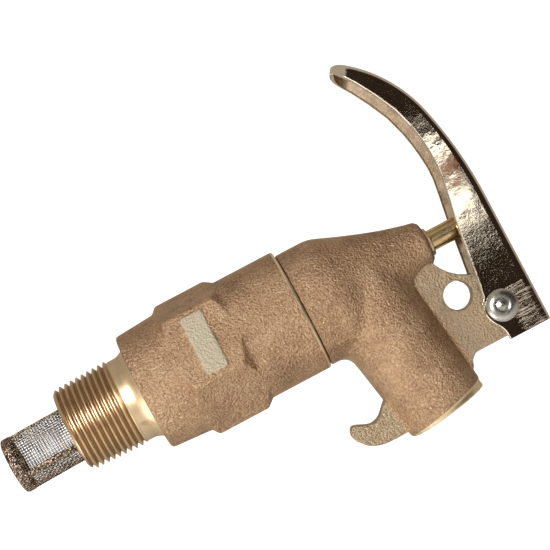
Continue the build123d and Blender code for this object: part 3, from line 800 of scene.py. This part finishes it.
def make_lever():
    line, total = lever_line(150)
    inner_total = total - SHEET
    outer = lever_skin(line, total, 0.0)
    inner = lever_skin(line, inner_total, SHEET)
    size, count = len(outer[0]), len(outer)
    verts = [p for ring in outer for p in ring] + [p for ring in inner for p in ring]
    shift = count * size
    faces, inside = [], []
    for i in range(count - 1):
        for j in range(size - 1):
            a, b = i * size + j, i * size + j + 1
            c, d = (i + 1) * size + j + 1, (i + 1) * size + j
            faces.append((a, b, c, d))
            faces.append((shift + a, shift + d, shift + c, shift + b))
            inside += [0, 1]
        for j in (0, size - 1):
            a, d = i * size + j, (i + 1) * size + j
            faces.append((a, d, shift + d, shift + a) if j == 0 else (d, a, shift + a, shift + d))
            inside.append(0)
    for i in (0, count - 1):
        for j in range(size - 1):
            a, b = i * size + j, i * size + j + 1
            faces.append((a, b, shift + b, shift + a) if i else (b, a, shift + a, shift + b))
            inside.append(0)
    lever = new_object("squeeze_lever", verts, faces)
    lever.data.polygons.foreach_set("material_index", inside)
    clean(lever, 1e-6)
    sharp_edges(lever, 50)
    inside = [face.material_index for face in lever.data.polygons]
    finish_piece(lever, "lever", plated, ["lever"])
    # The inside of the channel is plated but not polished
    lever.data.materials.append(plated_inside)
    lever.data.polygons.foreach_set("material_index", inside)


# ------------------------------------------------------------------ flame screen
SCREEN_R = 8.28 * MM
SCREEN_ROOT = Vector((31.54 * MM, 0, 0))
SCREEN_DROOP = radians(1.6)
SCREEN_LOW = -51.5 * MM
BAND_LENGTH = 3.0 * MM
WIRE_R = 0.12 * MM
WARP_COUNT = 60
MESH_PITCH = 2 * pi * SCREEN_R / WARP_COUNT
MESH_START = SCREEN_LOW + BAND_LENGTH - 0.4 * MM
MESH_END = -0.8 * MM
HOOP_COUNT = int((MESH_END - MESH_START) / MESH_PITCH)
WEAVE = 0.85 * WIRE_R
DISC_R = SCREEN_R - 0.9 * MM
DISC_DISH = 0.9 * MM


def screen_place(along, radius, angle):
    """A place on the screen: along its own axis from its root, out and round."""
    d = Vector((cos(SCREEN_DROOP), 0, sin(SCREEN_DROOP)))
    up = Vector((-sin(SCREEN_DROOP), 0, cos(SCREEN_DROOP)))
    return SCREEN_ROOT + d * along + up * (radius * cos(angle)) + Vector((0, -1, 0)) * (radius * sin(angle))


def wire_skin(paths, radius, closed=False):
    """Wires as thin four-sided tubes along paths of (place, outward) pairs."""
    sides = 4
    verts, faces = [], []
    for path in paths:
        start, count = len(verts), len(path)
        for i, (place, out) in enumerate(path):
            before = path[i - 1][0] if i or closed else path[0][0]
            after = path[(i + 1) % count][0] if i + 1 < count or closed else path[-1][0]
            along = (after - before).normalized()
            side = along.cross(out).normalized()
            up = side.cross(along)
            for k in range(sides):
                a = 2 * pi * k / sides + pi / sides
                verts.append(place + (up * cos(a) + side * sin(a)) * radius)
        for i in range(count if closed else count - 1):
            for k in range(sides):
                a, b = start + i * sides + k, start + i * sides + (k + 1) % sides
                c = start + ((i + 1) % count) * sides + (k + 1) % sides
                d = start + ((i + 1) % count) * sides + k
                faces.append((a, b, c, d))
    return verts, faces


def make_warp(rng):
    """The wires along the screen, over and under each hoop and a little uneven round it."""
    drift = rng.normal(0, 0.06, WARP_COUNT)
    paths = []
    for w in range(WARP_COUNT):
        path = []
        for i in range(HOOP_COUNT * 3 + 1):
            t = i / 3
            sway = drift[w] * 0.6 + 0.10 * sin(t * 0.31 + w * 0.37)
            angle = 2 * pi * (w + 0.5 + sway) / WARP_COUNT
            r = SCREEN_R + WEAVE * cos(pi * t + pi * w)
            place = screen_place(MESH_START + t * MESH_PITCH, r, angle)
            path.append((place, place - screen_place(MESH_START + t * MESH_PITCH, 0, angle)))
        paths.append(path)
    return new_object("screen_warp", *wire_skin(paths, WIRE_R))


def make_weft(rng):
    """The hoops round the screen."""
    paths = []
    for h in range(HOOP_COUNT):
        path = []
        wander = rng.normal(0, 0.05)
        for i in range(WARP_COUNT * 4):
            t = i / 4
            angle = 2 * pi * (t + 0.5) / WARP_COUNT
            r = SCREEN_R - WEAVE * cos(pi * t + pi * h)
            slip = wander + 0.08 * sin(t * 0.29 + h * 0.7)
            place = screen_place(MESH_START + (h + slip) * MESH_PITCH, r, angle)
            path.append((place, place - screen_place(MESH_START + h * MESH_PITCH, 0, angle)))
        paths.append(path)
    return new_object("screen_weft", *wire_skin(paths, WIRE_R, closed=True))


def make_end_disc():
    """The mesh disc in the end, cut square from the same cloth and dished by the crimp."""
    paths = []
    lines = int(DISC_R / MESH_PITCH)
    for a in range(-lines, lines + 1):
        half = sqrt(max(0.0, DISC_R**2 - (a * MESH_PITCH) ** 2))
        steps = max(2, int(2 * half / MESH_PITCH * 3))
        for turn in (0, 1):
            path = []
            for i in range(steps + 1):
                b = -half + 2 * half * i / steps
                u, v = (a * MESH_PITCH, b) if turn else (b, a * MESH_PITCH)
                wave = WEAVE * cos(pi * b / MESH_PITCH + pi * a) * (1 if turn else -1)
                angle, r = atan2(u, v), hypot(u, v)
                dish = DISC_DISH * (1 - (r / DISC_R) ** 2)
                place = screen_place(SCREEN_LOW + 0.7 * MM + dish + wave, r, angle)
                path.append((place, Vector((1, 0, 0))))
            paths.append(path)
    return new_object("screen_disc", *wire_skin(paths, WIRE_R))


def make_screen_band():
    """The folded band that crimps the end disc to the tube, with a rounded lip."""
    outer, wall = SCREEN_R + 0.28 * MM, 0.42 * MM
    profile = [
        (SCREEN_LOW + BAND_LENGTH, outer - wall),
        (SCREEN_LOW + BAND_LENGTH, outer - 0.15 * MM),
        (SCREEN_LOW + BAND_LENGTH - 0.15 * MM, outer),
        (SCREEN_LOW + 1.7 * MM, outer + 0.03 * MM),
        (SCREEN_LOW + 1.0 * MM, outer),
        (SCREEN_LOW + 0.55 * MM, outer - 0.12 * MM),
        (SCREEN_LOW + 0.22 * MM, outer - 0.38 * MM),
        (SCREEN_LOW + 0.04 * MM, outer - 0.75 * MM),
        (SCREEN_LOW, outer - 1.15 * MM),
        (SCREEN_LOW + 0.05 * MM, outer - 1.5 * MM),
        (SCREEN_LOW + 0.4 * MM, outer - 1.55 * MM),
        (SCREEN_LOW + 0.5 * MM, outer - 1.1 * MM),
        (SCREEN_LOW + 0.9 * MM, outer - wall - 0.1 * MM),
        (SCREEN_LOW + 1.7 * MM, outer - wall),
    ]
    rings = []
    steps = 180
    for i in range(steps):
        angle = 2 * pi * i / steps
        dents = 1 + 0.004 * sin(3 * angle + 0.6) + 0.003 * sin(11 * angle)
        rings.append([screen_place(t, r * dents, angle) for t, r in profile])
    band = closed_loops("screen_band", rings)
    clean(band)
    sharp_edges(band, 60)
    return band


def make_screen_seam():
    """The lapped, soldered seam down the screen's near side."""
    middle, half = radians(117), radians(8.5)
    length, steps = 47.6 * MM, 216
    rings = []
    for i in range(steps + 1):
        along = SCREEN_LOW + BAND_LENGTH - 0.3 * MM + length * i / steps
        sway = radians(1.2) * sin(i * 0.09 + 0.5) + radians(0.4) * sin(i * 0.47)
        outer, inner = [], []
        for k in range(9):
            u = k / 8 * 2 - 1
            a = middle + sway + half * u
            lift = 0.22 * MM * (1 - abs(u) ** 6) + 0.03 * MM * sin(i * 0.9 + k)
            outer.append(screen_place(along, SCREEN_R + 0.1 * MM + lift, a))
            inner.append(screen_place(along, SCREEN_R - 0.2 * MM, a))
        rings.append(outer + inner[::-1])
    size = len(rings[0])
    verts = [p for ring in rings for p in ring]
    faces = []
    for i in range(len(rings) - 1):
        for j in range(size):
            a, b = i * size + j, i * size + (j + 1) % size
            faces.append((a, b, b + size, a + size))
    faces += [tuple(range(size)), tuple(range(len(verts) - 1, len(verts) - size - 1, -1))]
    seam = new_object("screen_seam", verts, faces)
    clean(seam)
    sharp_edges(seam, 60)
    return seam


# ------------------------------------------------------------------ return spring
def make_return_coil():
    """The CAD coil copied as a piece in spring wire, in place of the CAD node."""
    source = frame["nodes"]["return_spring"]
    coil = bpy.data.objects.new("return_coil", source.data.copy())
    bpy.context.scene.collection.objects.link(coil)
    coil.matrix_world = source.matrix_world
    coil.data.materials.clear()
    coil.data.materials.append(spring_wire)
    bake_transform(coil)
    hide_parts("return_spring")


# ------------------------------------------------------------------ the pieces in place
adapter_casting, body_casting, body_spigot = make_castings()
finish_piece(make_nose(), "adapter", brass_thread)
finish_piece(adapter_casting, "adapter", bronze_adapter, ["inlet_adapter"])
finish_piece(body_casting, "body", bronze_body, ["faucet_body"])
finish_piece(body_spigot, "body", brass_turned)
make_lever()
make_return_coil()

weave_rng = np.random.default_rng(3)
finish_piece(make_warp(weave_rng), "adapter", wire, ["screen_tube"])
finish_piece(make_weft(weave_rng), "adapter", wire)
finish_piece(make_end_disc(), "adapter", wire, ["screen_cap"])
finish_piece(make_screen_band(), "adapter", crimped)
finish_piece(make_screen_seam(), "adapter", crimped)


# ------------------------------------------------------------------ floor, light and camera
FLOOR_Z = -0.45
FLOOR_GLOW = 0.58


def make_stage():
    """A pale floor well below the part, which also shines a little to the camera alone."""
    bpy.ops.mesh.primitive_circle_add(
        vertices=96, radius=1.5, fill_type="NGON", location=(0.06, 0, FLOOR_Z)
    )
    floor = bpy.context.object
    floor.name = "floor"
    material = bpy.data.materials.new("pale_floor")
    material.use_nodes = True
    shader = material.node_tree.nodes["Principled BSDF"]
    shader.inputs["Base Color"].default_value = (0.86, 0.86, 0.85, 1)
    shader.inputs["Roughness"].default_value = 0.9
    shader.inputs["Emission Color"].default_value = (0.93, 0.96, 1.0, 1)
    rays = material.node_tree.nodes.new("ShaderNodeLightPath")
    glow = material.node_tree.nodes.new("ShaderNodeMath")
    glow.operation = "MULTIPLY"
    glow.inputs[1].default_value = FLOOR_GLOW
    material.node_tree.links.new(rays.outputs["Is Camera Ray"], glow.inputs[0])
    material.node_tree.links.new(glow.outputs[0], shader.inputs["Emission Strength"])
    floor.data.materials.append(material)


def make_world():
    """White to the camera; a dim, warm room to everything else."""
    world = bpy.data.worlds.new("studio")
    bpy.context.scene.world = world
    world.use_nodes = True
    tree = world.node_tree
    tree.nodes.clear()
    out = tree.nodes.new("ShaderNodeOutputWorld")
    mix = tree.nodes.new("ShaderNodeMixShader")
    rays = tree.nodes.new("ShaderNodeLightPath")
    room = tree.nodes.new("ShaderNodeBackground")
    white = tree.nodes.new("ShaderNodeBackground")
    # The room is dark round the camera and to the lever's end, and lighter elsewhere
    way = tree.nodes.new("ShaderNodeTexCoord")
    parts = tree.nodes.new("ShaderNodeVectorMath")
    parts.operation = "DOT_PRODUCT"
    parts.inputs[1].default_value = (0.55, -0.835, 0)
    side = tree.nodes.new("ShaderNodeMapRange")
    side.interpolation_type = "SMOOTHSTEP"
    side.inputs["From Min"].default_value = 0.80
    side.inputs["From Max"].default_value = 0.45
    tint = tree.nodes.new("ShaderNodeMix")
    tint.data_type = "RGBA"
    tint.inputs[6].default_value = (0.028, 0.018, 0.012, 1)
    tint.inputs[7].default_value = (0.43, 0.365, 0.30, 1)
    tree.links.new(way.outputs["Generated"], parts.inputs[0])
    tree.links.new(parts.outputs["Value"], side.inputs["Value"])
    tree.links.new(side.outputs["Result"], tint.inputs["Factor"])
    tree.links.new(tint.outputs[2], room.inputs["Color"])
    white.inputs["Color"].default_value = (1, 1, 1, 1)
    white.inputs["Strength"].default_value = 1.2
    tree.links.new(rays.outputs["Is Camera Ray"], mix.inputs[0])
    tree.links.new(room.outputs[0], mix.inputs[1])
    tree.links.new(white.outputs[0], mix.inputs[2])
    tree.links.new(mix.outputs[0], out.inputs[0])


CENTRE = Vector((0.0737, 0, 0.0125))
YAW = radians(2)
ROLL = radians(27.9)
CAMERA_DISTANCE = 0.575
LENS_MM = 128.3
back = Vector((-sin(YAW), -cos(YAW), 0))
level_right = Vector((cos(YAW), -sin(YAW), 0))
right = level_right * cos(ROLL) - Vector((0, 0, 1)) * sin(ROLL)
up = level_right * sin(ROLL) + Vector((0, 0, 1)) * cos(ROLL)


def area_light(name, size, energy, colour, place, turn):
    data = bpy.data.lights.new(name, "AREA")
    data.shape = "RECTANGLE"
    data.size, data.size_y = size
    data.energy = energy
    data.color = colour
    light = bpy.data.objects.new(name, data)
    bpy.context.scene.collection.objects.link(light)
    light.location = place
    light.rotation_euler = turn
    light.visible_camera = False


def make_light(name, toward, distance, size, energy, colour):
    """A lamp round the part; toward is its place as (right, up, back) seen from the camera."""
    way = (right * toward[0] + up * toward[1] + back * toward[2]).normalized()
    turn = way.to_track_quat("Z", "Y").to_euler()
    area_light(name, size, energy, colour, CENTRE + way * distance, turn)


STRIP_X = 0.035
STRIP_Y = -1.03


def make_strip(name, z, size, energy, colour=(1.0, 0.96, 0.86)):
    """A narrow strip light level with the valve axis, well behind the camera."""
    area_light(name, size, energy, colour, (STRIP_X, STRIP_Y, z), (pi / 2, 0, 0))


make_stage()
make_world()
make_light("key", (-0.37, 0.10, 1.0), 0.85, (0.12, 0.12), 6.6, (1.0, 0.95, 0.89))
make_light("low", (-0.5, -1.0, 0.35), 0.7, (0.65, 0.55), 3.0, (1.0, 0.96, 0.90))
make_light("fill", (1.0, -0.35, 0.15), 0.9, (0.5, 0.5), 1.6, (1.0, 0.97, 0.90))
make_strip("strip_low", -0.004, (0.5, 0.022), 0.080)
make_strip("strip_high", 0.044, (0.5, 0.013), 0.050)
make_strip("strip_warm", 0.022, (0.5, 0.022), 0.012, (1.0, 0.50, 0.32))

camera_data = bpy.data.cameras.new("camera")
camera_data.sensor_width = 36
camera_data.lens = LENS_MM
camera = bpy.data.objects.new("camera", camera_data)
bpy.context.scene.collection.objects.link(camera)
camera.matrix_world = Matrix((
    (right.x, up.x, back.x, 0),
    (right.y, up.y, back.y, 0),
    (right.z, up.z, back.z, 0),
    (0, 0, 0, 1),
))
camera.location = CENTRE + back * CAMERA_DISTANCE
bpy.context.scene.camera = camera
bpy.context.scene.view_settings.view_transform = "Standard"

bpy.context.view_layer.update()
